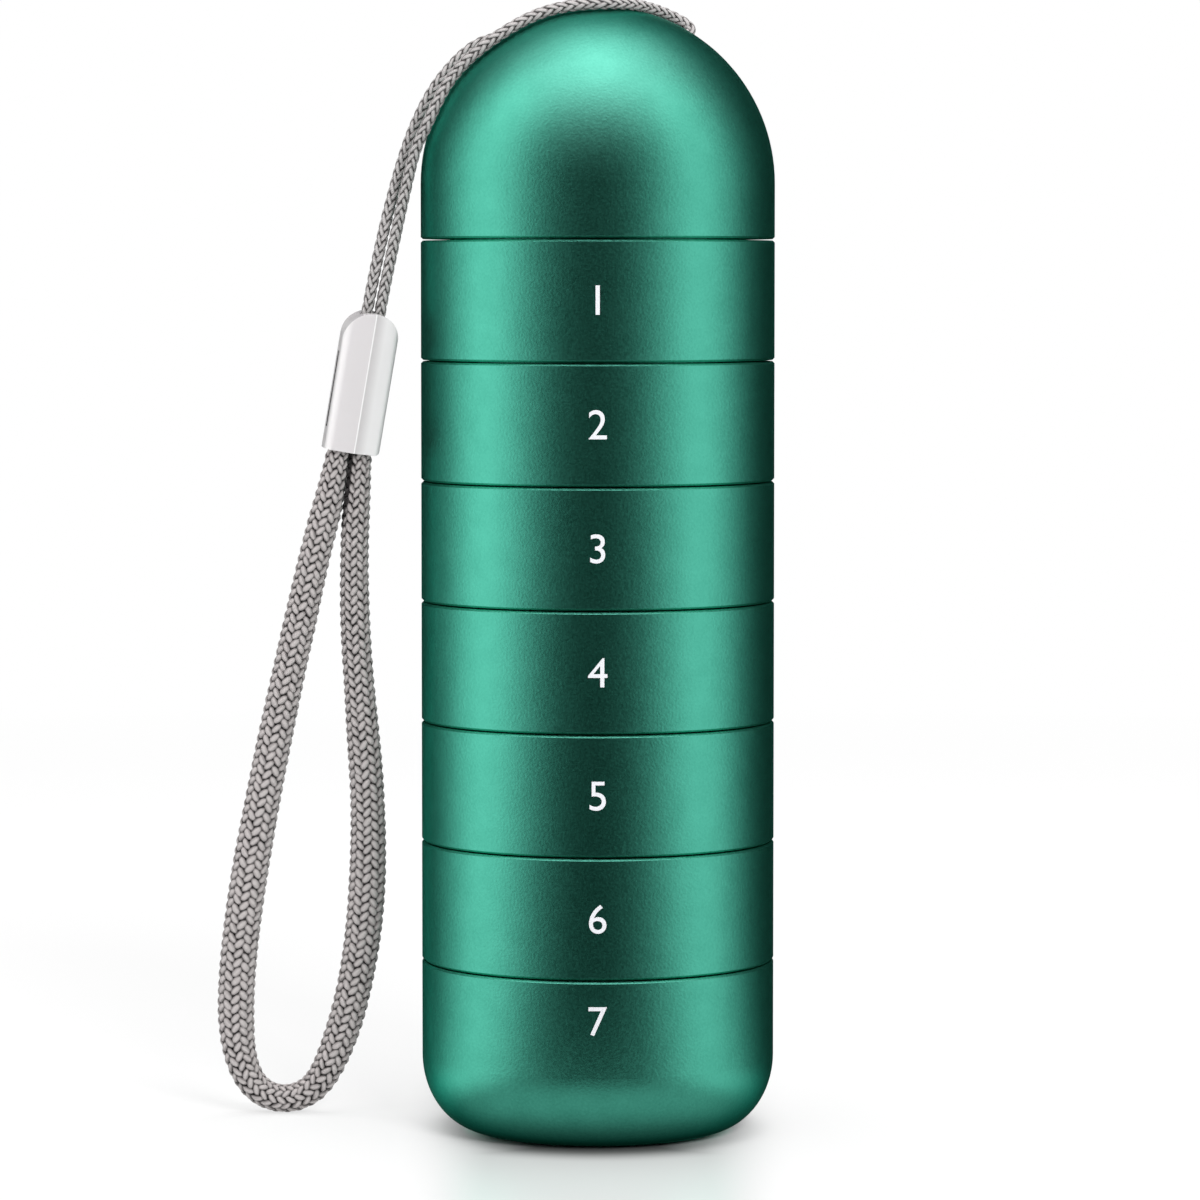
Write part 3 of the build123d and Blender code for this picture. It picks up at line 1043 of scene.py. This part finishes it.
@dataclass
class Studio:
    """White room, pale floor, lamps and camera, with the reflection tent over the object.

    Attributes:
        floor_radius: Radius of the floor.
        floor_fade: Radii between which the floor turns into plain white background.
        floor_colour: Colour of the floor.
        floor_light: Share of its light that comes from below, beside the object.
        contact: Radii between which the painted shade under the foot ends.
        contact_reach: Distances from the middle between which it ends sideways.
        contact_light: Brightness of the floor in that painted shade.
        mirror_share: Share of its light that it mirrors under the object.
        mirror_roughness: Roughness of that mirror.
        mirror_reach: Distances from the middle between which the mirroring ends sideways.
        mirror_end: Distances from the middle between which it ends before and behind the object.
        ambient: Brightness of the room as a light.
        lamp_aim: Where the lamps point.
        camera_place: Where the camera stands.
        camera_tilt: Its angle below the horizon, in degrees.
        lens: Focal length on a 36 mm sensor, in millimetres.
    """

    floor_radius: float = 6.0
    floor_fade: Span = (0.12, 0.5)
    floor_colour: Colour = (0.95, 0.95, 0.95)
    floor_light: float = 0.68
    contact: Span = (0.013, 0.021)
    contact_reach: Span = (0.003, 0.013)
    contact_light: float = 0.2
    mirror_share: float = 0.33
    mirror_roughness: float = 0.25
    mirror_reach: Span = (0.010, 0.020)
    mirror_end: Span = (0.042, 0.075)
    ambient: float = 0.52
    lamp_aim: Point = (-0.005, 0.0, 0.055)
    camera_place: Point = (0.00022, -0.5, 0.08435)
    camera_tilt: float = 3.62
    lens: float = 151.3

    @staticmethod
    def seen_directly(sheet: NodeSheet) -> Signal:
        """One for camera, glossy and transmission rays, and nought for light that falls on things."""
        camera, glossy, through = (
            sheet.node("ShaderNodeLightPath", output=f"Is {kind} Ray")
            for kind in ("Camera", "Glossy", "Transmission")
        )
        return camera.maximum(glossy).maximum(through)

    def build_world(self) -> None:
        """White where it is seen, and softer as a light."""
        world = bpy.data.worlds.new("white_room")
        world.use_nodes = True
        bpy.context.scene.world = world
        sheet = NodeSheet(world.node_tree)
        strength = self.ambient + self.seen_directly(sheet) * (1.0 - self.ambient)
        inputs = {"Color": WHITE, "Strength": strength}
        sheet.surface(sheet.node("ShaderNodeBackground", None, inputs), "ShaderNodeOutputWorld")

    def build_floor(self) -> None:
        """A pale disc that mirrors the object a little and turns into white background further off."""
        sides = 96
        angle = np.arange(sides) * FULL_TURN / sides
        rim = np.column_stack([np.cos(angle), np.sin(angle), np.zeros(sides)]) * self.floor_radius
        floor = mesh_object("floor", rim, [list(range(sides))])
        material, sheet = new_material("floor_white")
        coords = sheet.place()
        distance = sheet.node("ShaderNodeVectorMath", {"operation": "LENGTH"}, {0: coords}, "Value")
        near, far = self.floor_fade
        inputs = {"Value": distance, "From Min": near, "From Max": far}
        fade = sheet.node("ShaderNodeMapRange", None, inputs)
        aside, ahead = (sheet.component(coords, axis).magnitude() for axis in "XY")
        beside = sheet.ramp(aside, *self.mirror_reach)
        beside = beside.maximum(sheet.ramp(ahead, *self.mirror_end))
        mirroring = (1.0 - beside) * self.mirror_share
        # Painted shadow under the foot, mixed into the floor's colour.
        shade = sheet.ramp(distance, *self.contact, self.contact_light)
        shade = shade.maximum(sheet.ramp(aside, *self.contact_reach))
        paper_colour = sheet.blend(shade, BLACK, self.floor_colour)
        matte = sheet.node("ShaderNodeBsdfDiffuse", None, {"Color": paper_colour})
        inputs = {"Color": WHITE, "Roughness": self.mirror_roughness}
        sheen = sheet.node("ShaderNodeBsdfGlossy", None, inputs)
        paper = sheet.node("ShaderNodeMixShader", None, {0: mirroring, 1: matte, 2: sheen})
        white = sheet.node("ShaderNodeEmission", None, {"Color": WHITE, "Strength": 1.0})
        factor = fade.maximum(beside * self.floor_light) * self.seen_directly(sheet)
        sheet.surface(sheet.node("ShaderNodeMixShader", None, {0: factor, 1: paper, 2: white}))
        dress(floor, material)

    def lamp(self, name: str, place: Point, size: float, power: float) -> None:
        """A square soft lamp that reflections don't show.

        Args:
            name: The lamp's name.
            place: Where it stands.
            size: Length of its side.
            power: Its power, in watts.
        """
        data = bpy.data.lights.new(name, "AREA")
        data.size = size
        data.energy = power
        lamp = add_object(name, data)
        lamp.location = place
        lamp.rotation_euler = (Vector(self.lamp_aim) - Vector(place)).to_track_quat("-Z", "Y").to_euler()
        lamp.visible_camera = False
        lamp.visible_glossy = False

    def build_lamps(self) -> None:
        """A broad lamp overhead and a smaller one from the camera's right."""
        self.lamp("top_lamp", place=(0.0, -0.05, 1.1), size=0.9, power=6.5)
        self.lamp("front_lamp", place=(0.42, -1.0, 0.7), size=0.4, power=8.5)

    def build_camera(self) -> None:
        """The photograph's view: from the front, a little above the middle of the stack."""
        data = bpy.data.cameras.new("camera")
        data.lens = self.lens
        data.sensor_width = 36.0
        data.clip_start = 0.01
        camera = add_object("camera", data)
        camera.location = self.camera_place
        camera.rotation_euler = (radians(90.0 - self.camera_tilt), 0.0, 0.0)
        bpy.context.scene.camera = camera

    def build(self) -> None:
        """Sets the whole stage."""
        bpy.context.scene.view_settings.view_transform = "Standard"
        self.build_world()
        self.build_floor()
        ReflectionTent().build()
        self.build_lamps()
        self.build_camera()


def clear_scene() -> None:
    """Removes whatever a new file starts with."""
    for leftover in list(bpy.data.objects):
        bpy.data.objects.remove(leftover)


def main() -> None:
    """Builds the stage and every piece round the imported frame."""
    logging.basicConfig(level=logging.INFO, format="%(name)s: %(message)s")
    clear_scene()
    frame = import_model()
    nodes = frame["nodes"]
    Studio().build()
    Hardware(nodes).build()
    DayMarks().build(MARKING_INK.material())
    filling = CORD_CORE.material()
    wrist = BraidedCord(
        node="wrist_cord",
        slot="cord_braid",
        route=WRIST_ROUTE,
        diameter=0.0032,
        widths=millimetres(2.1, 3.2, 3.4, 3.6, 3.8, 3.8, 2.9, 3.6, 3.8, 3.5, 3.1, 2.9, 2.3),
        depths=millimetres(2.0, 2.6, 2.8, 2.8, 2.8, 2.8, 3.4, 3.0, 2.8, 2.8, 2.8, 2.6, 2.0),
        yarns=12,
        plait=0.00098,
        yarn_width=0.00078,
        yarn_thickness=0.00042,
        wave=0.00022,
        leafing=0.65,
        step=0.00016,
        sides=8,
        own_reach=0.045,
        crevice_width=0.0005,
        seed=11,
    )
    cord_yarn = BraidYarn("cord_braid", (0.51, 0.473, 0.467), (0.03, 0.026, 0.026)).material()
    clip = [nodes[name] for name in ("clip_front_shell", "clip_back_shell", "cord_crimp")]
    wrist.build("cap", cord_yarn, filling, clip)
    string = BraidedCord(
        node="string_loop",
        slot="string_braid",
        route=STRING_ROUTE,
        diameter=0.0011,
        widths=millimetres(1.2, 1.2),
        depths=millimetres(1.1, 1.1),
        yarns=6,
        plait=0.00105,
        yarn_width=0.00046,
        yarn_thickness=0.00020,
        wave=0.00007,
        leafing=0.35,
        step=0.00013,
        sides=6,
        own_reach=0.030,
        crevice_width=0.0003,
        seed=23,
    )
    string_yarn = BraidYarn("string_braid", (0.52, 0.50, 0.495), (0.08, 0.074, 0.072), emerging=(0.2, 0.8))
    string.build("cap", string_yarn.material(), filling, [])


if __name__ == "__main__":
    main()
